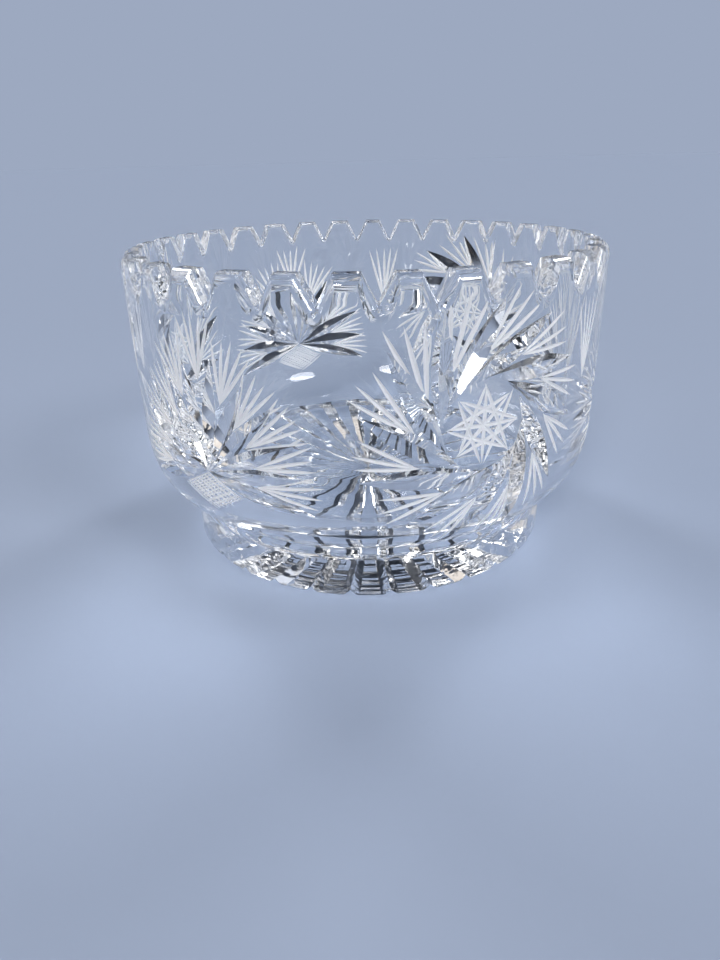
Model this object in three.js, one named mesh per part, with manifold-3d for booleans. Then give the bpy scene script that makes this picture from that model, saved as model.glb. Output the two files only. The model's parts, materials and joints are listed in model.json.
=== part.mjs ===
// Cut crystal bowl: a thick clear bowl with a sawtooth rim, standing on a solid disc foot.
// Millimetres, +Z up. The origin is the centre of the foot's underside, and -Y is the front.
import * as THREE from "three";
import { mergeVertices } from "three/addons/utils/BufferGeometryUtils.js";
import Module from "manifold-3d";

const wasm = await Module();
wasm.setup();

// Bowl
const bowlHeight = 128.5; // to the flat tops of the teeth
const wallRadius = 102.3; // outside, at the widest part of the wall
const rimRadius = 101.5; // outside, below the rounding of the rim's outer edge
const flatRadius = 97.4; // the tooth tops are flat from the bore out to here
const roundDrop = 5; // height of the rounding
const roundTurns = [Math.PI / 2, Math.PI / 4, 0]; // where the rounding is drawn, from its bottom
const wallStart = 64; // height where the rounded underside has turned into the wall
const boreRadius = 93.5; // inside, at the rim
const cavityRadius = 92.4; // inside, at the foot of the straight wall
const cavityStart = 60;
const floorRadius = 66; // flat part of the inner floor
const floorHeight = 29;
const jointRadius = 79; // where the bowl is stuck to the foot
const undersideBelly = [97, 31, 103, 36]; // control points of the rounded underside
const cavityBelly = [91.5, 42, 84, 29]; // control points of the rounded inner floor
const turnSegments = 72;
const curveSegments = 6; // on each of the bowl's two bellies

// Foot
const footRadius = 84;
const footHeight = 19;
const footEdge = 2; // radius of the foot's two rounded edges
const footEdgeSegments = 1; // on each eighth of a turn of them
const rayCount = 32; // V grooves of the star under the foot
const rayDepthAtEdge = 3.2;
const rayDepthAtCentre = 0.8;
const rayHalfAngle = THREE.MathUtils.degToRad(50);

// Sawtooth rim
const toothCount = 32;
const toothPhase = 0.138; // angle of the first tooth from the front, in radians
const notchDepth = 8.7; // at the inner face of the wall
const notchFall = 0.6; // the notch bottoms fall this much towards the outside
const notchHalfAngle = THREE.MathUtils.degToRad(28);
const notchRoot = 0.25; // radius of the V's bottom

// Cut pattern on the wall: three pinwheels round a star, and three palmettes between them
const motifPairs = 3;
const pinwheelAzimuth = THREE.MathUtils.degToRad(23);
const pinwheelHeight = 77;
const pinwheelBlades = 12;
const pinwheelHub = 16.5; // radius of the circle that the blades are tangent to
const palmetteAzimuth = THREE.MathUtils.degToRad(-35);
const palmetteHeight = 57.6;
const palmetteBlades = 12;
const palmetteSpan = THREE.MathUtils.degToRad(210);
const bladeLength = 43;
const pinwheelDepth = 3.6;
const palmetteDepth = 3;
const bladeHalfAngle = THREE.MathUtils.degToRad(48);
const bladeSteps = 5;
const starRadius = 14.5;
const starPoints = 8;
const starSkip = 3; // each line joins a point to the third one along
const starDepth = 0.9;
const starHalfAngle = THREE.MathUtils.degToRad(48);
const starSteps = 3;
const cutterRise = 1.2; // how far a cutter of the wall or foot stands out of the glass
const cutterReach = 6; // how far a notch cutter runs past the wall's inner face and its top
const cutterClearance = 1; // how far it runs past the outer face
const wallSamples = 36; // on the outside's curve, where the cuts read the wall's radius from it
const slopeStep = 0.5; // height over which the wall's slope is measured

// A closed geometry as a solid, whichever way its faces point.
function toSolid(geometry) {
  const bare = geometry.clone();
  bare.deleteAttribute("normal");
  bare.deleteAttribute("uv");
  const merged = mergeVertices(bare, 1e-4);
  const triVerts = [];
  const index = merged.index.array;
  for (let i = 0; i < index.length; i += 3) {
    const [a, b, c] = [index[i], index[i + 1], index[i + 2]];
    if (a !== b && b !== c && c !== a) triVerts.push(a, b, c);
  }
  const make = (triangles) =>
    new wasm.Manifold(
      new wasm.Mesh({
        numProp: 3,
        vertProperties: merged.attributes.position.array,
        triVerts: new Uint32Array(triangles),
      }),
    );
  const solid = make(triVerts);
  return solid.volume() > 0 ? solid : make(triVerts.reverse());
}

// A solid as a geometry.
function toGeometry(solid) {
  const mesh = solid.getMesh();
  const geometry = new THREE.BufferGeometry();
  geometry.setAttribute("position", new THREE.BufferAttribute(mesh.vertProperties, 3));
  geometry.setIndex(new THREE.BufferAttribute(mesh.triVerts, 1));
  geometry.computeVertexNormals();
  return geometry;
}

// A closed skin over rings that hold the same number of points, with a fan over each end.
function loft(rings) {
  const sides = rings[0].length;
  const triangles = [];
  rings.slice(1).forEach((ring, k) => {
    for (let i = 0; i < sides; i++) {
      const a = k * sides + i;
      const b = k * sides + ((i + 1) % sides);
      triangles.push(a, b, a + sides, b, b + sides, a + sides);
    }
  });
  const last = (rings.length - 1) * sides;
  for (let i = 1; i < sides - 1; i++) {
    triangles.push(0, i + 1, i);
    triangles.push(last, last + i, last + i + 1);
  }
  const geometry = new THREE.BufferGeometry().setFromPoints(rings.flat());
  return geometry.setIndex(triangles);
}

// A closed profile of radius and height, turned round the vertical axis.
function turned(outline, segments) {
  const lathe = new THREE.LatheGeometry(outline.getPoints(segments), turnSegments);
  return toSolid(lathe.rotateX(Math.PI / 2));
}

function subtractAll(body, cutters) {
  return cutters.map(toSolid).reduce((rest, cutter) => rest.subtract(cutter), body);
}

// The rounding of the rim's outer edge from its bottom up: radii, and how far each is below the top.
const rimRounding = roundTurns.map((turn) => ({
  radius: flatRadius + (rimRadius - flatRadius) * Math.sin(turn),
  drop: roundDrop * (1 - Math.cos(turn)),
}));

// Outside of the bowl, from the joint with the foot up to the outer edge of the flat tooth tops.
function outsideOutline() {
  const outline = new THREE.Path()
    .moveTo(jointRadius, footHeight)
    .bezierCurveTo(...undersideBelly, wallRadius, wallStart);
  for (const { radius, drop } of rimRounding) outline.lineTo(radius, bowlHeight - drop);
  return outline;
}

const outsidePoints = outsideOutline().getPoints(wallSamples);

// Outside radius of the bowl at a height.
function radiusAt(z) {
  const above = outsidePoints.findIndex((point) => point.y >= z);
  if (above < 1) return above < 0 ? flatRadius : jointRadius;
  const [low, high] = [outsidePoints[above - 1], outsidePoints[above]];
  return THREE.MathUtils.mapLinear(z, low.y, high.y, low.x, high.x);
}

// A point on the bowl's outside, and the directions round it, up it and out of it.
// across is measured round the wall from the front, in millimetres of arc.
function wallFrame(across, z) {
  const angle = across / wallRadius;
  const radius = radiusAt(z);
  const slope = (radiusAt(z + slopeStep) - radiusAt(z - slopeStep)) / (2 * slopeStep);
  const outward = new THREE.Vector3(Math.sin(angle), -Math.cos(angle), 0);
  const round = new THREE.Vector3(Math.cos(angle), Math.sin(angle), 0);
  const up = outward.clone().multiplyScalar(slope).setZ(1).normalize();
  return {
    point: outward.clone().multiplyScalar(radius).setZ(z),
    round,
    up,
    out: new THREE.Vector3().crossVectors(round, up),
  };
}

// The cutter of one mitre cut: a V that is deepest near its middle and runs out at both ends.
// It starts at (across, z) on the wall and runs straight at the angle for the length.
function mitreCutter({ across, z, angle, length, depth, halfAngle, steps }) {
  const rings = [];
  for (let k = 0; k <= steps; k++) {
    const share = k / steps;
    const run = share * length;
    const here = wallFrame(across + run * Math.cos(angle), z + run * Math.sin(angle));
    const side = here.round.clone().multiplyScalar(-Math.sin(angle));
    side.addScaledVector(here.up, Math.cos(angle));
    const sunk = depth * Math.sin(Math.PI * share);
    const halfWidth = (sunk + cutterRise) * Math.tan(halfAngle);
    const top = here.point.clone().addScaledVector(here.out, cutterRise);
    rings.push([
      here.point.clone().addScaledVector(here.out, -sunk),
      top.clone().addScaledVector(side, halfWidth),
      top.clone().addScaledVector(side, -halfWidth),
    ]);
  }
  return loft(rings);
}

const blade = {
  length: bladeLength,
  halfAngle: bladeHalfAngle,
  steps: bladeSteps,
};

// Pinwheel: blades that leave a circle along its tangents, all the same way round.
function pinwheelCutters(across) {
  return Array.from({ length: pinwheelBlades }, (_, k) => {
    const angle = (k * 2 * Math.PI) / pinwheelBlades;
    return mitreCutter({
      across: across - pinwheelHub * Math.sin(angle),
      z: pinwheelHeight + pinwheelHub * Math.cos(angle),
      angle,
      depth: pinwheelDepth,
      ...blade,
    });
  });
}

// Star in the pinwheel's hub: straight lines that join each point to the third one along.
function starCutters(across) {
  const place = (k) => {
    const angle = (k * 2 * Math.PI) / starPoints + Math.PI / 2;
    return new THREE.Vector2(
      across + starRadius * Math.cos(angle),
      pinwheelHeight + starRadius * Math.sin(angle),
    );
  };
  return Array.from({ length: starPoints }, (_, k) => {
    const start = place(k);
    const line = place(k + starSkip).sub(start);
    return mitreCutter({
      across: start.x,
      z: start.y,
      angle: line.angle(),
      length: line.length(),
      depth: starDepth,
      halfAngle: starHalfAngle,
      steps: starSteps,
    });
  });
}

// Palmette: blades that spread from one point, up and to both sides.
function palmetteCutters(across) {
  const first = (Math.PI - palmetteSpan) / 2;
  return Array.from({ length: palmetteBlades }, (_, k) =>
    mitreCutter({
      across,
      z: palmetteHeight,
      angle: first + (k * palmetteSpan) / (palmetteBlades - 1),
      depth: palmetteDepth,
      ...blade,
    }),
  );
}

function wallCutters() {
  const cutters = [];
  for (let k = 0; k < motifPairs; k++) {
    const turn = (k * 2 * Math.PI) / motifPairs;
    const pinwheel = (pinwheelAzimuth + turn) * wallRadius;
    const palmette = (palmetteAzimuth + turn) * wallRadius;
    cutters.push(...pinwheelCutters(pinwheel), ...starCutters(pinwheel));
    cutters.push(...palmetteCutters(palmette));
  }
  return cutters;
}

// The V of one rim notch at a radius, widened all round by an offset.
function notchRing(angle, radius, bottom, offset) {
  const top = bowlHeight + cutterReach;
  const corner = Math.PI / 2 - notchHalfAngle;
  const section = [-corner, -corner / 3, corner / 3, corner].map(
    (turn) => new THREE.Vector2(offset * Math.sin(turn), bottom - offset * Math.cos(turn)),
  );
  const [left, right] = [section[0], section[section.length - 1]];
  const reach = Math.tan(notchHalfAngle);
  section.push(new THREE.Vector2(right.x + (top - right.y) * reach, top));
  section.unshift(new THREE.Vector2(left.x - (top - left.y) * reach, top));
  const outward = new THREE.Vector3(Math.sin(angle), -Math.cos(angle), 0);
  const round = new THREE.Vector3(Math.cos(angle), Math.sin(angle), 0);
  return section.map((point) => {
    const place = outward.clone().multiplyScalar(radius);
    return place.addScaledVector(round, point.x).setZ(point.y);
  });
}

// The cutter of one rim notch: a V through the wall, widening at the outside as the rounding drops.
function notchCutter(angle) {
  const inside = bowlHeight - notchDepth;
  const outside = inside - notchFall;
  const [last, before] = rimRounding;
  const steepness = (last.drop - before.drop) / (last.radius - before.radius);
  const stations = [
    ...rimRounding.toReversed(),
    { radius: last.radius + cutterClearance, drop: last.drop + steepness * cutterClearance },
  ];
  return loft([
    notchRing(angle, boreRadius - cutterReach, inside, notchRoot),
    ...stations.map(({ radius, drop }) => notchRing(angle, radius, outside, notchRoot + drop)),
  ]);
}

function bowlBody() {
  const outline = outsideOutline();
  outline
    .lineTo(boreRadius, bowlHeight)
    .lineTo(cavityRadius, cavityStart)
    .bezierCurveTo(...cavityBelly, floorRadius, floorHeight)
    .lineTo(0, floorHeight)
    .lineTo(0, footHeight)
    .closePath();
  const notches = Array.from({ length: toothCount }, (_, k) =>
    notchCutter(toothPhase + ((k + 0.5) * 2 * Math.PI) / toothCount),
  );
  return subtractAll(turned(outline, curveSegments), [...notches, ...wallCutters()]);
}

// One ray of the star under the foot, deeper towards the edge and open at it.
function rayCutter(angle) {
  const outward = new THREE.Vector3(Math.cos(angle), Math.sin(angle), 0);
  const side = new THREE.Vector3(-Math.sin(angle), Math.cos(angle), 0);
  const reach = footRadius + cutterRise;
  const fall = (rayDepthAtEdge - rayDepthAtCentre) / footRadius;
  const ring = (distance) => {
    const depth = rayDepthAtCentre + fall * distance;
    const halfWidth = (depth + cutterRise) * Math.tan(rayHalfAngle);
    const below = outward.clone().multiplyScalar(distance).setZ(-cutterRise);
    return [
      outward.clone().multiplyScalar(distance).setZ(depth),
      below.clone().addScaledVector(side, halfWidth),
      below.clone().addScaledVector(side, -halfWidth),
    ];
  };
  return loft([ring(0), ring(reach)]);
}

function foot() {
  const inset = footRadius - footEdge;
  const outline = new THREE.Path()
    .moveTo(0, 0)
    .lineTo(inset, 0)
    .absarc(inset, footEdge, footEdge, -Math.PI / 2, 0)
    .absarc(inset, footHeight - footEdge, footEdge, 0, Math.PI / 2)
    .lineTo(0, footHeight);
  const rays = Array.from({ length: rayCount }, (_, k) =>
    rayCutter(((k + 0.5) * 2 * Math.PI) / rayCount),
  );
  return subtractAll(turned(outline, footEdgeSegments), rays);
}

function crystal(name) {
  return new THREE.MeshStandardMaterial({
    name,
    color: "#eef2f4",
    roughness: 0.03,
    metalness: 0,
    transparent: true,
    opacity: 0.35,
  });
}

function piece(name, solid) {
  const mesh = new THREE.Mesh(toGeometry(solid), crystal(name));
  mesh.name = name;
  return mesh;
}

const bowl = new THREE.Group();
bowl.name = "cut_crystal_bowl";
bowl.add(piece("bowl_body", bowlBody()), piece("foot", foot()));

export default bowl;
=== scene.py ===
"""Cut crystal bowl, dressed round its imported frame.

The bowl and its foot are one piece of clear lead glass once they are fused, so they are modelled
here as one solid. It is turned first, then the sawtooth rim is cut, and then the wheel-cut pattern:
three pinwheels and three palmettes round the wall, and a star of rays under the foot.
Everything is in metres, in the frame's own axes.
"""

import json
import logging
import math
import random
from dataclasses import dataclass
from enum import Enum
from typing import Any, Iterable, Iterator

import bmesh
import bpy
from mathutils import Euler, Matrix, Vector
from mathutils.kdtree import KDTree

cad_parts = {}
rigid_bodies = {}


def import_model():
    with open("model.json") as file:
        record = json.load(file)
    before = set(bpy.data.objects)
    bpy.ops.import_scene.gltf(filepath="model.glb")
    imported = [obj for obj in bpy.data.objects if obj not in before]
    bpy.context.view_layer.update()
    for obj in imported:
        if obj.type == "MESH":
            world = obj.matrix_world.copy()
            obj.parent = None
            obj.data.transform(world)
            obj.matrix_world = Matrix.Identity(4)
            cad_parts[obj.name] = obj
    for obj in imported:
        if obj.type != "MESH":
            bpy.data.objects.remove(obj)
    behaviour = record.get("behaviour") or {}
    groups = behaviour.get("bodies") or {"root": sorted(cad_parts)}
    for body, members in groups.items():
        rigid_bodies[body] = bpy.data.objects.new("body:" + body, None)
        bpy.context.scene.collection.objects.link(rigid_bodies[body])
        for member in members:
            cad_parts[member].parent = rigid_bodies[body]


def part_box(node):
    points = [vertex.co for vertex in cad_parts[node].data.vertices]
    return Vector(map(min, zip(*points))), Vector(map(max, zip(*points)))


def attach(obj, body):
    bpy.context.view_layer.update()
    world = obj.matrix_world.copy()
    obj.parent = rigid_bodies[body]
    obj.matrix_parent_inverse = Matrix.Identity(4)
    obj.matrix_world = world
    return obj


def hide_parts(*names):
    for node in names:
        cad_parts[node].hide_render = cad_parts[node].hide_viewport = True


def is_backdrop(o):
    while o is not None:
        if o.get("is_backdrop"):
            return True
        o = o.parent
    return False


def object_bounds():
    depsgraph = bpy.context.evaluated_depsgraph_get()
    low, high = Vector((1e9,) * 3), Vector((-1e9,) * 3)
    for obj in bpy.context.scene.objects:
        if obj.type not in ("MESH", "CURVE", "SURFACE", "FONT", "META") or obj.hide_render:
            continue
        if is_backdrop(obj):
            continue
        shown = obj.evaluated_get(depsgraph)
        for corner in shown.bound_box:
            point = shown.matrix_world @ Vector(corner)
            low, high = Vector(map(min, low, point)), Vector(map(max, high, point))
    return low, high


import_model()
cad_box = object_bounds()

MM = 0.001
FULL_TURN = 2 * math.pi
SEED = 7
RAY_DEPTH = 32
BAR_SIDES = 3
# The sockets of a colour mix node: its two colours, and their blend among its outputs.
FIRST_COLOUR, SECOND_COLOUR, BLEND = 6, 7, 2
log = logging.getLogger("crystal_bowl")


def linear_colour(code: str) -> tuple[float, float, float, float]:
    """Turns an sRGB hex code into the linear colour that a shader socket takes.

    Args:
        code: The colour, such as "#AEB9CC".

    Returns:
        Red, green, blue and an alpha of 1.
    """
    shares = [int(code[k : k + 2], 16) / 255 for k in (1, 3, 5)]
    red, green, blue = [s / 12.92 if s <= 0.04045 else ((s + 0.055) / 1.055) ** 2.4 for s in shares]
    return red, green, blue, 1.0


def add_node(
    tree: bpy.types.NodeTree,
    kind: str,
    settings: dict[str, Any] | None = None,
    values: dict[Any, Any] | None = None,
    links: dict[Any, bpy.types.NodeSocket] | None = None,
) -> bpy.types.Node:
    """Adds a shader node.

    Args:
        tree: The node tree that it goes into.
        kind: The node's type name.
        settings: The node's own settings, by name.
        values: Numbers and colours for its input sockets, by socket name or number.
        links: Output sockets of other nodes that feed its inputs, by socket name or number.

    Returns:
        The node.
    """
    node = tree.nodes.new(kind)
    for name, value in (settings or {}).items():
        setattr(node, name, value)
    for socket, value in (values or {}).items():
        node.inputs[socket].default_value = value
    for socket, source in (links or {}).items():
        tree.links.new(source, node.inputs[socket])
    return node


def empty_tree(holder: bpy.types.Material | bpy.types.World) -> bpy.types.NodeTree:
    """Gives a material or a world an empty node tree."""
    holder.use_nodes = True
    holder.node_tree.nodes.clear()
    return holder.node_tree


def to_data(mesh: bmesh.types.BMesh, name: str) -> bpy.types.Mesh:
    """Makes mesh data from a mesh, which is freed."""
    data = bpy.data.meshes.new(name)
    mesh.to_mesh(data)
    mesh.free()
    return data


def add_object(name: str, data: bpy.types.ID) -> bpy.types.Object:
    """Adds an object with its data to the scene."""
    made = bpy.data.objects.new(name, data)
    bpy.context.scene.collection.objects.link(made)
    return made


@dataclass(frozen=True)
class GlassFinish:
    """One finish of the lead glass, as the maker leaves it.

    The clear glass has an IOR of 1.545, that of crystal with a quarter of lead oxide. Its surface
    waves are a real size in metres: broad where the hot glass was blown and fire polished, short
    where a cut was polished after the wheel, and a fine grain where the wheel's grit was left.
    The waves run round the bowl and are stretched that way, by as much as the finish's stretch, so
    that on the blown glass they are turning marks: level on the wall, and rings on the floor. Their
    reach is the radius at which they have their size round the bowl. They may fade up the wall to a
    least share of their height. The lamp share is the part of a lamp's light that each face lets
    straight through to what is behind it.
    """

    name: str
    colour: str
    roughness: float
    transmission: float
    wave_size: float
    wave_height: float
    wave_detail: float
    wave_stretch: float = 1.0
    wave_reach: float = 100 * MM
    wave_least: float = 1.0
    full_below: float = 56 * MM
    least_above: float = 74 * MM
    roughness_spread: float = 0.0
    lamp_share: str = "#CCCED0"
    ior: float = 1.545

    def material(self) -> bpy.types.Material:
        """Makes the material.

        Returns:
            A material with one Principled shader, its waves on Object coordinates.
        """
        made = bpy.data.materials.new(self.name)
        tree = empty_tree(made)
        place = add_node(tree, "ShaderNodeTexCoord")
        parts = add_node(tree, "ShaderNodeSeparateXYZ", links={"Vector": place.outputs["Object"]})
        waves = self.waves(tree, place.outputs["Object"], parts.outputs["Z"])
        fade = self.fade(tree, parts.outputs["Z"])
        bump = add_node(
            tree,
            "ShaderNodeBump",
            values={"Distance": self.wave_height},
            links={"Height": waves.outputs["Fac"], "Strength": fade.outputs["Result"]},
        )
        shader = add_node(
            tree,
            "ShaderNodeBsdfPrincipled",
            values={
                "Base Color": linear_colour(self.colour),
                "Roughness": self.roughness,
                "IOR": self.ior,
                "Transmission Weight": self.transmission,
            },
            links={"Normal": bump.outputs["Normal"]},
        )
        if self.roughness_spread:
            spread = add_node(
                tree,
                "ShaderNodeMapRange",
                values={
                    "To Min": self.roughness - self.roughness_spread,
                    "To Max": self.roughness + self.roughness_spread,
                },
                links={"Value": waves.outputs["Fac"]},
            )
            tree.links.new(spread.outputs["Result"], shader.inputs["Roughness"])
        mixed = self.pass_lamps(tree, shader.outputs["BSDF"])
        add_node(tree, "ShaderNodeOutputMaterial", links={"Surface": mixed.outputs["Shader"]})
        return made

    def fade(self, tree: bpy.types.NodeTree, height: bpy.types.NodeSocket) -> bpy.types.Node:
        """Adds the node that lowers the waves up the wall."""
        return add_node(
            tree,
            "ShaderNodeMapRange",
            settings={"interpolation_type": "SMOOTHSTEP"},
            values={
                "From Min": self.full_below,
                "From Max": self.least_above,
                "To Min": 1.0,
                "To Max": self.wave_least,
            },
            links={"Value": height},
        )

    def pass_lamps(self, tree: bpy.types.NodeTree, glass: bpy.types.NodeSocket) -> bpy.types.Node:
        """Adds the nodes that let lamps reach what is behind the glass straight through it.

        Args:
            tree: The material's node tree.
            glass: The shader of the glass itself.

        Returns:
            The node that gives the shader of both.
        """
        ray = add_node(tree, "ShaderNodeLightPath")
        passed = add_node(
            tree, "ShaderNodeBsdfTransparent", values={"Color": linear_colour(self.lamp_share)}
        )
        return add_node(
            tree,
            "ShaderNodeMixShader",
            links={0: ray.outputs["Is Shadow Ray"], 1: glass, 2: passed.outputs["BSDF"]},
        )

    def waves(
        self, tree: bpy.types.NodeTree, place: bpy.types.NodeSocket, height: bpy.types.NodeSocket
    ) -> bpy.types.Node:
        """Adds the noise of the waves, on the way round the axis, the radius and the height.

        Args:
            tree: The material's node tree.
            place: The place on the bowl.
            height: The height of that place.

        Returns:
            The noise node.
        """
        level = add_node(
            tree, "ShaderNodeVectorMath", {"operation": "MULTIPLY"}, {1: (1, 1, 0)}, {0: place}
        )
        way, radius = [
            add_node(
                tree,
                "ShaderNodeVectorMath",
                settings={"operation": operation},
                links={0: level.outputs["Vector"]},
            )
            for operation in ("NORMALIZE", "LENGTH")
        ]
        out = add_node(tree, "ShaderNodeCombineXYZ", links={"Z": radius.outputs["Value"]})
        turned = add_node(
            tree,
            "ShaderNodeVectorMath",
            settings={"operation": "MULTIPLY_ADD"},
            values={1: (self.wave_reach / self.wave_stretch,) * 3},
            links={0: way.outputs["Vector"], 2: out.outputs["Vector"]},
        )
        return add_node(
            tree,
            "ShaderNodeTexNoise",
            settings={"noise_dimensions": "4D"},
            values={"Scale": 1 / self.wave_size, "Detail": self.wave_detail, "Roughness": 0.5},
            links={"Vector": turned.outputs["Vector"], "W": height},
        )


class Finish(Enum):
    """The finishes on the bowl. A finish's place here is its material slot."""

    # Blown and fire-polished lead glass: clear, hard gloss, with faint level turning marks.
    BLOWN = GlassFinish(
        name="fire_polished_lead_glass",
        colour="#FAFBFC",
        roughness=0.0,
        transmission=1.0,
        wave_size=5 * MM,
        wave_height=0.22 * MM,
        wave_detail=1.0,
        wave_stretch=9.0,
        wave_least=0.1,
    )
    # Deep mitre cuts, polished after the wheel: clear with short soft ripples.
    POLISHED_CUT = GlassFinish(
        name="polished_mitre_cut",
        colour="#FAFBFC",
        roughness=0.02,
        transmission=1.0,
        wave_size=5 * MM,
        wave_height=0.05 * MM,
        wave_detail=2.0,
    )
    # Fine cuts left as the stone ground them: matte and white, with a grain of about 0.1 mm,
    # drawn at 0.4 mm so that it shows.
    GROUND_CUT = GlassFinish(
        name="ground_matte_cut",
        colour="#F7F8FA",
        roughness=0.8,
        transmission=0.4,
        wave_size=0.4 * MM,
        wave_height=0.03 * MM,
        wave_detail=2.0,
        roughness_spread=0.08,
        lamp_share="#B4B6B8",
    )

    @property
    def slot(self) -> int:
        """The number of the finish's material slot."""
        return list(Finish).index(self)


def bezier(start: Vector, pull: Vector, draw: Vector, end: Vector, steps: int) -> list[Vector]:
    """Points along a cubic curve.

    Args:
        start: The first point.
        pull: The control point of the first end.
        draw: The control point of the second end.
        end: The last point.
        steps: How many stretches the curve is cut into.

    Returns:
        The points, both ends among them.
    """
    points = []
    for k in range(steps + 1):
        t = k / steps
        first = start.lerp(pull, t)
        middle = pull.lerp(draw, t)
        last = draw.lerp(end, t)
        points.append(first.lerp(middle, t).lerp(middle.lerp(last, t), t))
    return points


@dataclass
class WallSpot:
    """A point on the bowl's outside, with the directions round the wall, up it and out of it."""

    point: Vector
    round: Vector
    up: Vector
    out: Vector


@dataclass
class TurnedBowl:
    """The blown bowl stuck on its disc foot, before any cutting: one turned shape.

    Its reach comes from the frame, and the rest are sizes of the section in metres. A belly is
    drawn by the two control points of its curve, its pull and its draw.
    """

    wall_radius: float
    height: float
    foot_radius: float
    foot_height: float
    rim_radius: float = 101.5 * MM
    flat_radius: float = 97.4 * MM
    round_height: float = 5 * MM
    round_steps: int = 5
    wall_start: float = 64 * MM
    underside_pull: tuple[float, float] = (97 * MM, 31 * MM)
    underside_draw: tuple[float, float] = (103 * MM, 36 * MM)
    bore_radius: float = 93.5 * MM
    cavity_radius: float = 92.4 * MM
    cavity_start: float = 60 * MM
    cavity_pull: tuple[float, float] = (91.5 * MM, 42 * MM)
    cavity_draw_radius: float = 84 * MM
    floor_radius: float = 66 * MM
    floor_height: float = 29 * MM
    joint_radius: float = 79 * MM
    foot_edge: float = 2 * MM
    foot_edge_steps: int = 5
    turn_steps: int = 224
    curve_steps: int = 28
    ring_step: float = 4 * MM
    slope_step: float = 0.5 * MM
    normal_step: float = 0.1 * MM
    normal_reach: float = 0.3 * MM
    normal_match: float = 0.97
    weld: float = 0.001 * MM

    def __post_init__(self) -> None:
        """Works out the two sides of the section, and the trees that find its normals."""
        self.outside: list[Vector] = self.outside_line()
        self.inside: list[Vector] = self.inside_line()
        self.stretches: list[tuple[KDTree, list[Vector]]] = [
            self.stretch_tree(line) for line in self.section_lines()
        ]

    def outside_line(self) -> list[Vector]:
        """Gives the outside of the section, as (radius, height), from the joint up to the rim."""
        underside = bezier(
            Vector((self.joint_radius, self.foot_height)),
            Vector(self.underside_pull),
            Vector(self.underside_draw),
            Vector((self.wall_radius, self.wall_start)),
            self.curve_steps,
        )
        rounded = [Vector((radius, self.height - drop)) for radius, drop in self.rim_curve()]
        return underside + self.rings(underside[-1], rounded[-1]) + rounded[-2::-1]

    def rim_curve(self) -> list[tuple[float, float]]:
        """Gives the rounded outer edge of the rim: radii, and how far it has dropped at each."""
        turns = [math.pi / 2 * k / self.round_steps for k in range(self.round_steps + 1)]
        reach = self.rim_radius - self.flat_radius
        return [
            (self.flat_radius + reach * math.sin(t), self.round_height * (1 - math.cos(t)))
            for t in turns
        ]

    def inside_line(self) -> list[Vector]:
        """Gives the inside of the section, as (radius, height), from the rim down to the floor."""
        rounded = bezier(
            Vector((self.cavity_radius, self.cavity_start)),
            Vector(self.cavity_pull),
            Vector((self.cavity_draw_radius, self.floor_height)),
            Vector((self.floor_radius, self.floor_height)),
            self.curve_steps,
        )
        mouth = Vector((self.bore_radius, self.height))
        return [mouth, *self.rings(mouth, rounded[0]), *rounded[1:]]

    def rings(self, start: Vector, end: Vector) -> list[Vector]:
        """Cuts a straight stretch of the section up, and gives its points but the first."""
        count = round((end - start).length / self.ring_step)
        return [start.lerp(end, (k + 1) / count) for k in range(count)]

    def foot_section(self) -> list[Vector]:
        """Gives the section of the foot, from the axis below to the joint above."""
        turns = [math.pi / 2 * k / self.foot_edge_steps for k in range(self.foot_edge_steps + 1)]
        inset = self.foot_radius - self.foot_edge
        lower = [
            Vector((inset + self.foot_edge * math.sin(t), self.foot_edge * (1 - math.cos(t))))
            for t in turns
        ]
        upper = [Vector((point.x, self.foot_height - point.y)) for point in reversed(lower)]
        return [Vector((0, 0)), *lower, *upper]

    def section_lines(self) -> list[list[Vector]]:
        """Gives the stretches of the section that are round in the turned bowl and stay smooth."""
        top = [self.outside[-1], self.inside[0]]
        return [self.foot_section()[1:], self.outside, top, self.inside]

    def stretch_tree(self, line: list[Vector]) -> tuple[KDTree, list[Vector]]:
        """Makes a tree of close points along one stretch of the section.

        Args:
            line: The stretch, as (radius, height) points.

        Returns:
            A balanced tree over the points, and the section's normals in the tree's order.
        """
        slopes = [(b - a).normalized() for a, b in zip(line, line[1:])]
        bends = [slopes[0], *[(a + b).normalized() for a, b in zip(slopes, slopes[1:])], slopes[-1]]
        places, normals = [], []
        for k, (a, b) in enumerate(zip(line, line[1:])):
            count = max(1, round((b - a).length / self.normal_step))
            for step in range(count + 1):
                along = bends[k].lerp(bends[k + 1], step / count).normalized()
                places.append(a.lerp(b, step / count))
                normals.append(Vector((along.y, -along.x)))
        tree = KDTree(len(places))
        for k, place in enumerate(places):
            tree.insert((place.x, place.y, 0), k)
        tree.balance()
        return tree, normals

    def radius_at(self, height: float) -> float:
        """Gives the bowl's outside radius at a height."""
        for low, high in zip(self.outside, self.outside[1:]):
            if height <= high.y:
                share = (height - low.y) / (high.y - low.y)
                return low.x + (high.x - low.x) * max(share, 0)
        return self.flat_radius

    def spot(self, across: float, height: float) -> WallSpot:
        """Finds a place on the outside of the wall.

        Args:
            across: The way round from the front, as an arc at the wall's full radius.
            height: The height above the table.

        Returns:
            The point and its directions.
        """
        angle = across / self.wall_radius
        rise = self.radius_at(height + self.slope_step) - self.radius_at(height - self.slope_step)
        outward = Vector((math.sin(angle), -math.cos(angle), 0))
        round_wall = Vector((math.cos(angle), math.sin(angle), 0))
        up = (outward * rise / (2 * self.slope_step) + Vector((0, 0, 1))).normalized()
        point = outward * self.radius_at(height) + Vector((0, 0, height))
        return WallSpot(point, round_wall, up, round_wall.cross(up))

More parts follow.
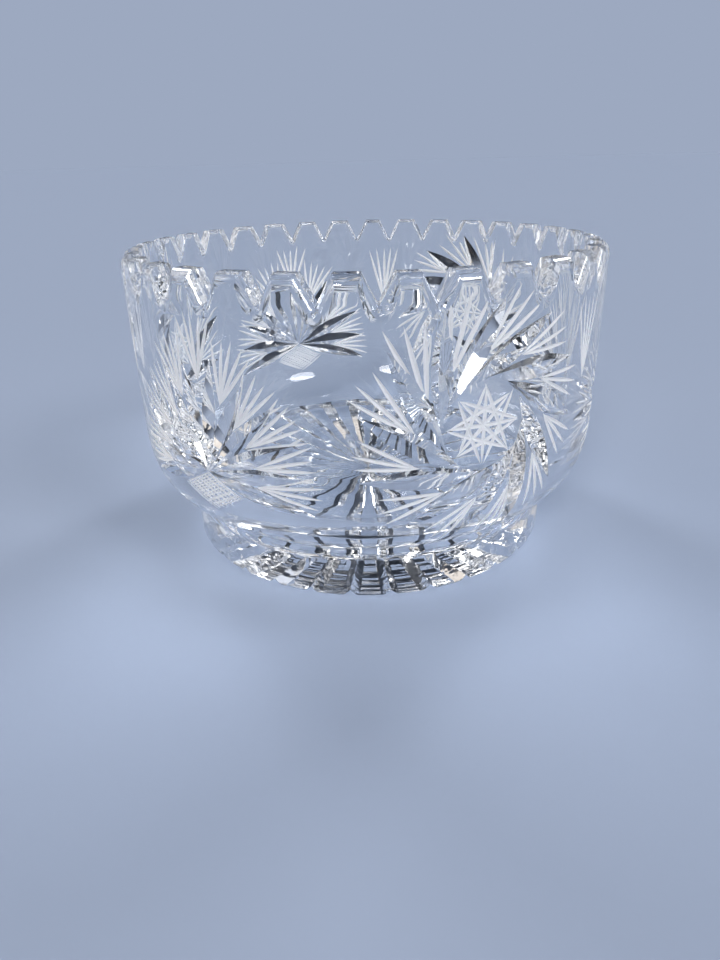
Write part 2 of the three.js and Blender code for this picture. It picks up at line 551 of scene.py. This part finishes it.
    def turn(self) -> bmesh.types.BMesh:
        """Turns the section round the axis.

        Returns:
            A closed mesh with its faces pointing out.
        """
        section = self.foot_section() + self.outside + self.inside
        section.append(Vector((0, self.floor_height)))
        mesh = bmesh.new()
        points = [mesh.verts.new((place.x, 0, place.y)) for place in section]
        edges = [mesh.edges.new(pair) for pair in zip(points, points[1:])]
        bmesh.ops.spin(
            mesh,
            geom=points + edges,
            axis=(0, 0, 1),
            cent=(0, 0, 0),
            steps=self.turn_steps,
            angle=FULL_TURN,
            use_merge=True,
        )
        bmesh.ops.remove_doubles(mesh, verts=mesh.verts, dist=self.weld)
        face_outwards(mesh)
        return mesh

    def turned_normals(self, centre: Vector, facing: Vector, corners: list[Vector]) -> list[Vector]:
        """Finds the turned surface's normals at the corners of a face of it.

        Args:
            centre: The middle of the face.
            facing: The face's own normal.
            corners: Its corners.

        Returns:
            A normal for each corner, or zeros if the face isn't a part of the turned surface.
        """
        near = Vector((centre.xy.length, centre.z, 0))
        found = [(tree.find(near), tree, normals) for tree, normals in self.stretches]
        (_, place, gap), tree, normals = min(found, key=lambda each: each[0][2])
        if gap > self.normal_reach:
            return [Vector()] * len(corners)
        turned = self.turn_out(centre, normals[place])
        if turned.dot(facing) < self.normal_match:
            return [Vector()] * len(corners)
        nearest = [tree.find((corner.xy.length, corner.z, 0))[1] for corner in corners]
        return [self.turn_out(corner, normals[k]) for corner, k in zip(corners, nearest)]

    def turn_out(self, place: Vector, normal: Vector) -> Vector:
        """Turns a normal of the section round the axis to a place on the bowl."""
        return Vector((place.x, place.y, 0)).normalized() * normal.x + Vector((0, 0, normal.y))


@dataclass
class MitreCut:
    """A straight cut of a V-edged wheel: deepest near its middle, running out at both ends."""

    across: float
    height: float
    angle: float
    length: float
    depth: float
    half_angle: float
    finish: Finish
    fullness: float = 1.0
    steps: int = 14
    rise: float = 1.0 * MM

    def cutter(self, bowl: TurnedBowl) -> bmesh.types.BMesh:
        """Makes the wheel's path as a closed three-sided bar, wrapped on the wall.

        Args:
            bowl: The bowl that it cuts.

        Returns:
            The cutter's mesh.
        """
        bar = three_sided_bar()
        lengthwise = [edge for edge in bar.edges if not is_level(edge)]
        bmesh.ops.subdivide_edges(bar, edges=lengthwise, cuts=self.steps - 1, use_grid_fill=True)
        for point in bar.verts:
            share, corner = bar_place(point)
            point.co = self.corner_place(bowl, share, corner)
        face_outwards(bar)
        return bar

    def corner_place(self, bowl: TurnedBowl, share: float, corner: int) -> Vector:
        """Places one corner of the cutter's section.

        Args:
            bowl: The bowl that it cuts.
            share: The way along the cut, from 0 to 1.
            corner: 0 for the V's bottom, 1 and 2 for its two sides.

        Returns:
            The place.
        """
        run = share * self.length
        here = bowl.spot(
            self.across + run * math.cos(self.angle), self.height + run * math.sin(self.angle)
        )
        side = here.up * math.cos(self.angle) - here.round * math.sin(self.angle)
        sunk = self.depth * max(math.sin(math.pi * share), 0) ** self.fullness
        if corner == 0:
            return here.point - here.out * sunk
        half_width = (sunk + self.rise) * math.tan(self.half_angle)
        lean = half_width if corner == 1 else -half_width
        return here.point + here.out * self.rise + side * lean


def three_sided_bar() -> bmesh.types.BMesh:
    """Makes a closed upright bar with three sides and a length of 1, centred on the origin."""
    bar = bmesh.new()
    bmesh.ops.create_cone(bar, cap_ends=True, segments=BAR_SIDES, radius1=1, radius2=1, depth=1)
    return bar


def bar_place(point: bmesh.types.BMVert) -> tuple[float, int]:
    """Tells where on the three-sided bar a point is.

    Args:
        point: The point.

    Returns:
        The way along the bar, from 0 to 1, and the number of the corner, from 0 to 2.
    """
    lean = math.atan2(point.co.x, point.co.y)
    return point.co.z + 0.5, round(BAR_SIDES * lean / FULL_TURN) % BAR_SIDES


def is_level(edge: bmesh.types.BMEdge) -> bool:
    """Tells whether an edge of the bar lies level, and not along the bar."""
    low, high = [point.co.z for point in edge.verts]
    return math.isclose(low, high, abs_tol=1e-6)


def face_outwards(mesh: bmesh.types.BMesh) -> None:
    """Turns the faces of a closed mesh so that they all point out of it.

    Args:
        mesh: The mesh, whose points may have been moved since its faces were made.
    """
    mesh.normal_update()
    bmesh.ops.recalc_face_normals(mesh, faces=mesh.faces)
    if mesh.calc_volume(signed=True) < 0:
        bmesh.ops.reverse_faces(mesh, faces=mesh.faces)


@dataclass
class GroundLine:
    """The narrow cut of a fine wheel, left matte."""

    width: float = 1.5 * MM
    half_angle: float = math.radians(60)
    steps: int = 8
    rise: float = 0.6 * MM

    def cut(
        self, across: float, height: float, angle: float, length: float, fullness: float = 0.6
    ) -> MitreCut:
        """Makes one line of this wheel.

        Args:
            across: Where it starts, round the wall.
            height: Where it starts, above the table.
            angle: The direction that it runs in, from level towards up.
            length: How long it is.
            fullness: Under 1 the line keeps its width for longer towards its ends.

        Returns:
            The cut.
        """
        depth = self.width / 2 / math.tan(self.half_angle)
        return MitreCut(
            across,
            height,
            angle,
            length,
            depth,
            self.half_angle,
            Finish.GROUND_CUT,
            fullness,
            steps=self.steps,
            rise=self.rise,
        )


@dataclass
class Hand:
    """How far the cutter's hand strays from the marked-out pattern."""

    chance: random.Random
    place: float = 0.35 * MM
    turn: float = math.radians(0.9)
    length_share: float = 0.05

    def stray(self, cut: MitreCut) -> MitreCut:
        """Moves, turns and lengthens a cut a little, as a hand would."""
        cut.across += self.chance.uniform(-self.place, self.place)
        cut.height += self.chance.uniform(-self.place, self.place)
        cut.angle += self.chance.uniform(-self.turn, self.turn)
        cut.length *= 1 + self.chance.uniform(-self.length_share, self.length_share)
        return cut


@dataclass
class Pinwheel:
    """Blades that leave a hub along its tangents, a star in the hub, and a fan in each gap.

    A tall upright fan fills the space between it and the palmette on its right.
    """

    across: float
    height: float = 77 * MM
    blades: int = 12
    hub: float = 16.5 * MM
    blade_length: float = 43 * MM
    blade_depth: float = 3.6 * MM
    blade_half_angle: float = math.radians(48)
    star_radius: float = 14.5 * MM
    star_points: int = 8
    star_skip: int = 3
    star_width: float = 1.6 * MM
    fan_radius: float = 27 * MM
    fan_lead: float = math.radians(57.5)
    fan_turns: tuple[float, ...] = (math.radians(2), math.radians(16), math.radians(29))
    fan_length: float = 23 * MM
    fan_draw: float = 7 * MM
    fan_swell: float = 0.4 * MM
    tall_fan_across: float = 54 * MM
    tall_fan_height: float = 83 * MM
    tall_fan_length: float = 31 * MM
    tall_fan_lines: int = 5
    tall_fan_pitch: float = math.radians(8)

    def cuts(self) -> Iterator[MitreCut]:
        """Gives every cut of the pinwheel."""
        for k in range(self.blades):
            angle = k * FULL_TURN / self.blades
            yield self.blade(angle)
            yield from self.fan(angle)
        for k in range(self.star_points):
            yield self.star_line(k, self.star_skip)
        for k in range(self.star_points // 2):
            yield self.star_line(k, self.star_points // 2)
        yield from self.tall_fan()

    def tall_fan(self) -> Iterator[MitreCut]:
        """Makes the upright fan on the pinwheel's right."""
        for k in range(self.tall_fan_lines):
            turn = ((self.tall_fan_lines - 1) / 2 - k) * self.tall_fan_pitch
            yield GroundLine().cut(
                self.across + self.tall_fan_across,
                self.tall_fan_height,
                math.pi / 2 + turn,
                self.tall_fan_length,
            )

    def blade(self, angle: float) -> MitreCut:
        """Makes the blade that runs at an angle."""
        return MitreCut(
            self.across - self.hub * math.sin(angle),
            self.height + self.hub * math.cos(angle),
            angle,
            self.blade_length,
            self.blade_depth,
            self.blade_half_angle,
            Finish.POLISHED_CUT,
        )

    def fan(self, angle: float) -> Iterator[MitreCut]:
        """Makes the fan of ground lines ahead of the blade that runs at an angle.

        Args:
            angle: The blade's angle. A fan that points up starts nearer the hub and is longer.

        Returns:
            The lines, one after another.
        """
        across = self.across + self.fan_radius * math.cos(angle + self.fan_lead)
        height = self.height + self.fan_radius * math.sin(angle + self.fan_lead)
        middle = angle + self.fan_turns[1]
        rise = max(math.sin(middle), 0) ** 2
        drawn = self.fan_draw * rise
        across -= drawn * math.cos(middle)
        height -= drawn * math.sin(middle)
        line = GroundLine(width=GroundLine.width + self.fan_swell * rise)
        for turn in self.fan_turns:
            yield line.cut(across, height, angle + turn, self.fan_length + drawn)

    def star_line(self, k: int, skip: int) -> MitreCut:
        """Makes a line of the star, from its point number k to the one that is skip points on."""
        start, end = [
            Vector((math.cos(turn), math.sin(turn))) * self.star_radius
            for turn in (self.star_turn(k), self.star_turn(k + skip))
        ]
        run = end - start
        return GroundLine(width=self.star_width).cut(
            self.across + start.x,
            self.height + start.y,
            math.atan2(run.y, run.x),
            run.length,
            fullness=0.4,
        )

    def star_turn(self, k: int) -> float:
        """Gives the direction of the star's point number k from its middle."""
        return math.pi / 2 + k * FULL_TURN / self.star_points


@dataclass
class Palmette:
    """Blades that spread from one point, a fan in each gap, and a diamond field below."""

    across: float
    height: float = 57.6 * MM
    blades: int = 12
    spread: float = math.radians(210)
    blade_length: float = 43 * MM
    blade_depth: float = 3.0 * MM
    blade_half_angle: float = math.radians(48)
    fan_radius: float = 22 * MM
    fan_lift: float = 12 * MM
    fan_lift_fall: float = 12.0
    fan_lines: int = 5
    fan_pitch: float = math.radians(10.5)
    fan_length: float = 24 * MM
    field_half_width: float = 16 * MM
    field_half_height: float = 8.5 * MM
    field_pitch: float = 1.2 * MM
    field_line_share: float = 0.5

    def cuts(self) -> Iterator[MitreCut]:
        """Gives every cut of the palmette."""
        pitch = self.spread / (self.blades - 1)
        first = (math.pi - self.spread) / 2
        for k in range(self.blades):
            yield self.blade(first + k * pitch)
        for k in range(self.blades - 1):
            yield from self.fan(first + (k + 0.5) * pitch)
        yield from self.diamond_field()

    def blade(self, angle: float) -> MitreCut:
        """Makes the blade that runs at an angle."""
        return MitreCut(
            self.across,
            self.height,
            angle,
            self.blade_length,
            self.blade_depth,
            self.blade_half_angle,
            Finish.POLISHED_CUT,
        )

    def fan(self, angle: float) -> Iterator[MitreCut]:
        """Makes the fan of ground lines in the gap that points at an angle.

        Args:
            angle: The gap's angle. A fan that points straight up starts higher.

        Returns:
            The lines, one after another.
        """
        rise = max(math.sin(angle), 0)
        radius = self.fan_radius + self.fan_lift * rise**self.fan_lift_fall
        across = self.across + radius * math.cos(angle)
        height = self.height + radius * math.sin(angle)
        for k in range(self.fan_lines):
            turn = (k - (self.fan_lines - 1) / 2) * self.fan_pitch
            yield GroundLine().cut(across, height, angle + turn, self.fan_length)

    def diamond_field(self) -> Iterator[MitreCut]:
        """Makes the two sets of crossed ground lines below the point, along the field's edges.

        The real lines are about 0.7 mm apart. They are drawn farther apart so that they show.
        """
        edge = Vector((self.field_half_width, self.field_half_height))
        count = round(2 * edge.x * edge.y / edge.length / self.field_pitch)
        line = GroundLine(width=self.field_line_share * self.field_pitch)
        for way in (1, -1):
            angle = math.atan2(-edge.y, way * edge.x)
            for k in range(count):
                share = (k + 0.5) / count
                yield line.cut(
                    self.across - way * share * edge.x,
                    self.height - share * edge.y,
                    angle,
                    edge.length,
                    fullness=0.25,
                )


@dataclass
class SawtoothRim:
    """V notches through the rim, with the ground bevel that follows them round the outside."""

    bowl: TurnedBowl
    chance: random.Random
    teeth: int = 32
    phase: float = 0.138
    notch_depth: float = 8.7 * MM
    notch_fall: float = 0.6 * MM
    notch_half_angle: float = math.radians(28)
    notch_root: float = 0.3 * MM
    reach: float = 6 * MM
    depth_stray: float = 0.45 * MM
    turn_stray: float = math.radians(0.3)
    lean_stray: float = math.radians(1.5)
    clearance: float = 1 * MM
    root_steps: int = 4
    edge_round: float = 0.3 * MM
    edge_steps: int = 2
    edge_margin: float = 4 * MM
    weld: float = 0.01 * MM

    def cutters(self) -> Iterator[bmesh.types.BMesh]:
        """Gives the cutter of each notch."""
        for k in range(self.teeth):
            angle = self.phase + (k + 0.5) * FULL_TURN / self.teeth
            angle += self.chance.uniform(-self.turn_stray, self.turn_stray)
            depth = self.notch_depth + self.chance.uniform(-self.depth_stray, self.depth_stray)
            lean = self.chance.uniform(-self.lean_stray, self.lean_stray)
            yield self.notch(angle, self.bowl.height - depth, lean)

    def notch(self, angle: float, bottom: float, lean: float) -> bmesh.types.BMesh:
        """Makes the cutter of one notch: a V through the wall, its edges rounded at the outside.

        Args:
            angle: Its place round the rim, from the front.
            bottom: The height of the V's bottom at the inner face.
            lean: How far the V leans to one side.

        Returns:
            The cutter's mesh.
        """
        curve = self.bowl.rim_curve()
        (before, width_before), (last, width_last) = curve[-2:]
        beyond = width_last + (width_last - width_before) / (last - before) * self.clearance
        curve.append((last + self.clearance, beyond))
        stations = [(self.bowl.bore_radius - self.reach, bottom, self.notch_root)]
        for radius, widening in curve:
            stations.append((radius, bottom - self.notch_fall, self.notch_root + widening))
        cutter = bmesh.new()
        loops = []
        for station in stations:
            corners = [cutter.verts.new(place) for place in self.v_places(angle, lean, *station)]
            loops.append([cutter.edges.new(pair) for pair in zip(corners, corners[1:] + corners[:1])])
        for near, far in zip(loops, loops[1:]):
            bmesh.ops.bridge_loops(cutter, edges=near + far)
        bmesh.ops.holes_fill(cutter, edges=loops[0] + loops[-1], sides=0)
        face_outwards(cutter)
        return cutter

    def lowest(self) -> float:
        """Gives a height that is below every notch."""
        return self.bowl.height - self.notch_depth - self.bowl.round_height - self.edge_margin

    def v_places(
        self, angle: float, lean: float, radius: float, bottom: float, offset: float
    ) -> list[Vector]:
        """Gives the corners of the V at one radius, widened all round by an offset."""
        top = self.bowl.height + self.reach
        corner = math.pi / 2 - self.notch_half_angle
        turns = [corner * (2 * k / self.root_steps - 1) for k in range(self.root_steps + 1)]
        section = [Vector((offset * math.sin(t), bottom - offset * math.cos(t))) for t in turns]
        left, right = section[0], section[-1]
        rise = Vector((math.tan(self.notch_half_angle), 1))
        section.append(right + rise * (top - right.y))
        section.insert(0, left + Vector((-rise.x, 1)) * (top - left.y))
        turned = [Matrix.Rotation(lean, 2) @ (p - Vector((0, bottom))) for p in section]
        outward = Vector((math.sin(angle), -math.cos(angle), 0))
        round_rim = Vector((math.cos(angle), math.sin(angle), 0))
        return [
            outward * radius + round_rim * p.x + Vector((0, 0, bottom + p.y)) for p in turned
        ]


@dataclass
class FootStar:
    """The star of V rays cut under the foot, deeper towards the edge and open at it."""

    bowl: TurnedBowl
    rays: int = 32
    depth_at_edge: float = 3.2 * MM
    depth_at_centre: float = 0.8 * MM
    half_angle: float = math.radians(50)
    rise: float = 1.2 * MM

    def cutters(self) -> Iterator[bmesh.types.BMesh]:
        """Gives the cutter of each ray."""
        for k in range(self.rays):
            yield self.ray((k + 0.5) * FULL_TURN / self.rays)

    def ray(self, angle: float) -> bmesh.types.BMesh:
        """Makes the cutter of one ray: a three-sided bar drawn out to the foot's edge."""
        outward = Vector((math.cos(angle), math.sin(angle), 0))
        side = Vector((-math.sin(angle), math.cos(angle), 0))
        reach = self.bowl.foot_radius + self.rise
        fall = (self.depth_at_edge - self.depth_at_centre) / self.bowl.foot_radius
        bar = three_sided_bar()
        for point in bar.verts:
            share, corner = bar_place(point)
            distance = share * reach
            depth = self.depth_at_centre + fall * distance
            half_width = (depth + self.rise) * math.tan(self.half_angle)
            place = outward * distance
            if corner == 0:
                point.co = place + Vector((0, 0, depth))
            else:
                lean = half_width if corner == 1 else -half_width
                point.co = place + side * lean - Vector((0, 0, self.rise))
        face_outwards(bar)
        return bar


@dataclass
class CrystalBowl:
    """The whole bowl: the turned glass with its rim, its wall pattern and its foot star cut in."""

    bowl: TurnedBowl
    chance: random.Random
    pairs: int = 3
    pinwheel_turn: float = math.radians(23)
    palmette_turn: float = math.radians(-35)
    sharp_angle: float = math.radians(17)

    def make(self) -> bpy.types.Object:
        """Cuts the bowl and shades it.

        Returns:
            The finished piece.
        """
        piece = self.blank()
        rim = SawtoothRim(self.bowl, self.chance)
        self.cut(piece, ((cutter, Finish.POLISHED_CUT) for cutter in rim.cutters()))
        self.round_teeth(piece, rim)
        star = FootStar(self.bowl)
        self.cut(piece, ((cutter, Finish.POLISHED_CUT) for cutter in star.cutters()))
        hand = Hand(self.chance)
        marked = [hand.stray(cut) for cut in self.pattern()]
        self.cut(piece, ((cut.cutter(self.bowl), cut.finish) for cut in marked))
        self.shade(piece)
        return piece

    def pattern(self) -> Iterator[MitreCut]:
        """Gives every cut of the wall's pattern."""
        for k in range(self.pairs):
            turn = k * FULL_TURN / self.pairs
            yield from Pinwheel((self.pinwheel_turn + turn) * self.bowl.wall_radius).cuts()
            yield from Palmette((self.palmette_turn + turn) * self.bowl.wall_radius).cuts()

    def blank(self) -> bpy.types.Object:
        """Makes the uncut bowl as an object with every finish in its slots."""
        data = to_data(self.bowl.turn(), "crystal_bowl")
        for finish in Finish:
            data.materials.append(finish.value.material())
        return add_object("crystal_bowl", data)

    def cut(
        self, piece: bpy.types.Object, cutters: Iterable[tuple[bmesh.types.BMesh, Finish]]
    ) -> None:
        """Takes cutters out of the piece, and leaves each cut in its cutter's finish.

        Args:
            piece: The bowl.
            cutters: Each cutter's mesh and the finish that it leaves.
        """
        bench = self.lay_out(piece, cutters)
        wheel = piece.modifiers.new("wheel", "BOOLEAN")
        wheel.operation = "DIFFERENCE"
        wheel.operand_type = "COLLECTION"
        wheel.collection = bench
        wheel.solver = "MANIFOLD"
        wheel.material_mode = "TRANSFER"
        depsgraph = bpy.context.evaluated_depsgraph_get()
        before = piece.data
        piece.data = bpy.data.meshes.new_from_object(piece.evaluated_get(depsgraph))
        piece.modifiers.remove(wheel)
        bpy.data.meshes.remove(before)
        piece.data.name = piece.name
        self.clear(bench)

    def lay_out(
        self, piece: bpy.types.Object, cutters: Iterable[tuple[bmesh.types.BMesh, Finish]]
    ) -> bpy.types.Collection:
        """Puts the cutters in the scene, each in the material of its finish.

        Args:
            piece: The bowl, with every finish in its slots.
            cutters: Each cutter's mesh and the finish that it leaves.

        Returns:
            The collection that holds them.
        """
        bench = bpy.data.collections.new("cutters")
        bpy.context.scene.collection.children.link(bench)
        slots = piece.data.materials
        for cutter, finish in cutters:
            data = to_data(cutter, "cutter")
            data.materials.append(slots[finish.slot])
            bench.objects.link(bpy.data.objects.new("cutter", data))
        return bench

    def clear(self, bench: bpy.types.Collection) -> None:
        """Deletes the cutters and the collection that holds them."""
        for tool, data in [(tool, tool.data) for tool in bench.objects]:
            bpy.data.objects.remove(tool)
            bpy.data.meshes.remove(data)
        bpy.data.collections.remove(bench)

    def round_teeth(self, piece: bpy.types.Object, rim: SawtoothRim) -> None:
        """Rounds the sharp edges of the teeth a little, as polishing leaves them.

        Args:
            piece: The bowl with its notches cut.
            rim: The rim's sizes.
        """
        mesh = bmesh.new()
        mesh.from_mesh(piece.data)
        bmesh.ops.remove_doubles(mesh, verts=mesh.verts, dist=rim.weld)
        lowest = rim.lowest()
        edges = [
            edge
            for edge in mesh.edges
            if all(point.co.z > lowest for point in edge.verts)
            and edge.is_manifold
            and edge.calc_face_angle() > self.sharp_angle
        ]
        bmesh.ops.bevel(
            mesh,
            geom=edges,
            offset=rim.edge_round,
            offset_type="OFFSET",
            segments=rim.edge_steps,
            profile=0.5,
            affect="EDGES",
            clamp_overlap=True,
            material=-1,
        )
        mesh.to_mesh(piece.data)
        mesh.free()

    def shade(self, piece: bpy.types.Object) -> None:
        """Shades the turned faces from the section, and splits the rest at its sharp edges."""
        data = piece.data
        data.shade_smooth()
        data.set_sharp_from_angle(angle=self.sharp_angle)
        normals = [Vector()] * len(data.loops)
        for face in data.polygons:
            if face.material_index == Finish.BLOWN.slot:
                corners = [data.vertices[k].co for k in face.vertices]
                turned = self.bowl.turned_normals(face.center, face.normal, corners)
                for loop, normal in zip(face.loop_indices, turned):
                    normals[loop] = normal
        data.normals_split_custom_set(normals)


@dataclass(frozen=True)
class Lamp:
    """A soft lamp far away, so that it lights the floor evenly. Its angles are in degrees."""

    name: str
    turn: float
    lift: float
    spread: float
    strength: float
    colour: str = "#FFFFFF"

    def hang(self) -> None:
        """Adds the lamp. Turn is 0 at the front and 90 at the right, and lift is above level."""
        data = bpy.data.lights.new(self.name, "SUN")
        data.angle = math.radians(self.spread)
        data.energy = self.strength
        data.color = linear_colour(self.colour)[:3]
        lamp = add_object(self.name, data)
        turn, lift = math.radians(self.turn), math.radians(self.lift)
        level = Vector((math.sin(turn), -math.cos(turn), 0)) * math.cos(lift)
        away = level + Vector((0, 0, math.sin(lift)))
        lamp.location = away
        lamp.rotation_euler = away.to_track_quat("Z", "Y").to_euler()


@dataclass
class Studio:
    """A plain pale floor, a pale surround that dims upwards, and soft lamps round the bowl.

    The camera's lens, its place in metres and its angles in radians were fitted to the photograph.
    """

    floor_colour: str = "#9DAAC2"
    floor_radius: float = 60.0
    floor_sides: int = 96
    air_gap: float = 0.1 * MM
    horizon_colour: str = "#9DA9C0"
    ceiling_colour: str = "#10141D"
    lens: float = 24.975
    sensor: float = 36.0
    camera_place: tuple[float, float, float] = (0.0, -0.30576, 0.15952)
    camera_down: float = math.radians(25.73)
    camera_turn: float = 0.0139
    camera_roll: float = -0.0259
    lamps: tuple[Lamp, ...] = (
        Lamp("left_key", turn=-20, lift=34, spread=16, strength=1.6, colour="#FFFBF6"),
        Lamp("right_key", turn=50, lift=34, spread=16, strength=1.15),
        Lamp("left_box", turn=-100, lift=28, spread=46, strength=0.45, colour="#FFF4E8"),
        Lamp("right_box", turn=84, lift=28, spread=46, strength=0.45, colour="#EDF3FF"),
        Lamp("back_left_key", turn=-146, lift=34, spread=14, strength=1.0),
        Lamp("back_right_key", turn=142, lift=34, spread=14, strength=1.1),
    )

    def build(self) -> None:
        """Builds the floor, the surround, the lamps and the camera."""
        self.make_floor()
        self.make_surround()
        for lamp in self.lamps:
            lamp.hang()
        self.make_camera()
        bpy.context.scene.view_settings.view_transform = "Standard"

    def make_floor(self) -> None:
        """Makes the floor, a wide disc in matte paint."""
        disc = bmesh.new()
        bmesh.ops.create_circle(
            disc, cap_ends=True, segments=self.floor_sides, radius=self.floor_radius
        )
        bmesh.ops.translate(disc, verts=disc.verts, vec=(0, 0, -self.air_gap))
        data = to_data(disc, "floor")
        paint = bpy.data.materials.new("matte_floor_paint")
        tree = empty_tree(paint)
        shader = add_node(
            tree,
            "ShaderNodeBsdfPrincipled",
            values={
                "Base Color": linear_colour(self.floor_colour),
                "Roughness": 0.9,
                "Specular IOR Level": 0.0,
            },
        )
        add_node(tree, "ShaderNodeOutputMaterial", links={"Surface": shader.outputs["BSDF"]})
        data.materials.append(paint)
        floor = add_object("floor", data)
        floor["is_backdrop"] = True

    def make_surround(self) -> None:
        """Makes the surround: pale at eye level all round, and dim overhead as a studio is."""
        world = bpy.data.worlds.new("studio")
        tree = empty_tree(world)
        place = add_node(tree, "ShaderNodeTexCoord")
        parts = add_node(tree, "ShaderNodeSeparateXYZ", links={"Vector": place.outputs["Generated"]})
        lift = add_node(
            tree,
            "ShaderNodeMapRange",
            settings={"interpolation_type": "SMOOTHSTEP"},
            values={"From Min": 0.0, "From Max": 0.13},
            links={"Value": parts.outputs["Z"]},
        )
        blend = add_node(
            tree,
            "ShaderNodeMix",
            settings={"data_type": "RGBA"},
            values={
                FIRST_COLOUR: linear_colour(self.horizon_colour),
                SECOND_COLOUR: linear_colour(self.ceiling_colour),
            },
            links={"Factor": lift.outputs["Result"]},
        )
        ray = add_node(tree, "ShaderNodeLightPath")
        seen = add_node(
            tree,
            "ShaderNodeMix",
            settings={"data_type": "RGBA"},
            values={SECOND_COLOUR: linear_colour(self.horizon_colour)},
            links={"Factor": ray.outputs["Is Camera Ray"], FIRST_COLOUR: blend.outputs[BLEND]},
        )
        light = add_node(
            tree,
            "ShaderNodeBackground",
            values={"Strength": 1.0},
            links={"Color": seen.outputs[BLEND]},
        )
        add_node(tree, "ShaderNodeOutputWorld", links={"Surface": light.outputs["Background"]})
        bpy.context.scene.world = world

    def make_camera(self) -> None:
        """Sets the camera where the photograph was taken from."""
        data = bpy.data.cameras.new("camera")
        data.lens = self.lens
        data.sensor_width = self.sensor
        camera = add_object("camera", data)
        camera.location = self.camera_place
        aim = Euler((math.pi / 2 - self.camera_down, 0, self.camera_turn)).to_matrix()
        camera.rotation_euler = (aim @ Matrix.Rotation(self.camera_roll, 3, "Z")).to_euler()
        bpy.context.scene.camera = camera


def set_ray_depth(depth: int) -> None:
    """Lets light cross enough faces of the cut glass before it is given up."""
    cycles = bpy.context.scene.cycles
    cycles.max_bounces = depth
    cycles.transmission_bounces = depth
    cycles.glossy_bounces = depth
    cycles.transparent_max_bounces = depth


def save_sizes() -> None:
    boxes = {"cad": cad_box, "visual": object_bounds()}
    plain = {name: [list(corner) for corner in box] for name, box in boxes.items()}


def main() -> None:
    """Builds the studio and the bowl, and fixes the bowl to the frame."""
    logging.basicConfig(level=logging.INFO, format="%(name)s: %(message)s")
    Studio().build()
    _, foot_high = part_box("foot")
    _, body_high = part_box("bowl_body")
    turned = TurnedBowl(
        wall_radius=body_high.x,
        height=body_high.z,
        foot_radius=foot_high.x,
        foot_height=foot_high.z,
    )
    across, height = 2 * turned.wall_radius / MM, turned.height / MM
    log.info("bowl %.1f mm across, %.1f mm high", across, height)
    piece = CrystalBowl(turned, random.Random(SEED)).make()
    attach(piece, "root")
    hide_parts("bowl_body", "foot")
    log.info("%s has %d faces", piece.name, len(piece.data.polygons))
    set_ray_depth(RAY_DEPTH)
    save_sizes()


if __name__ == "__main__":
    main()
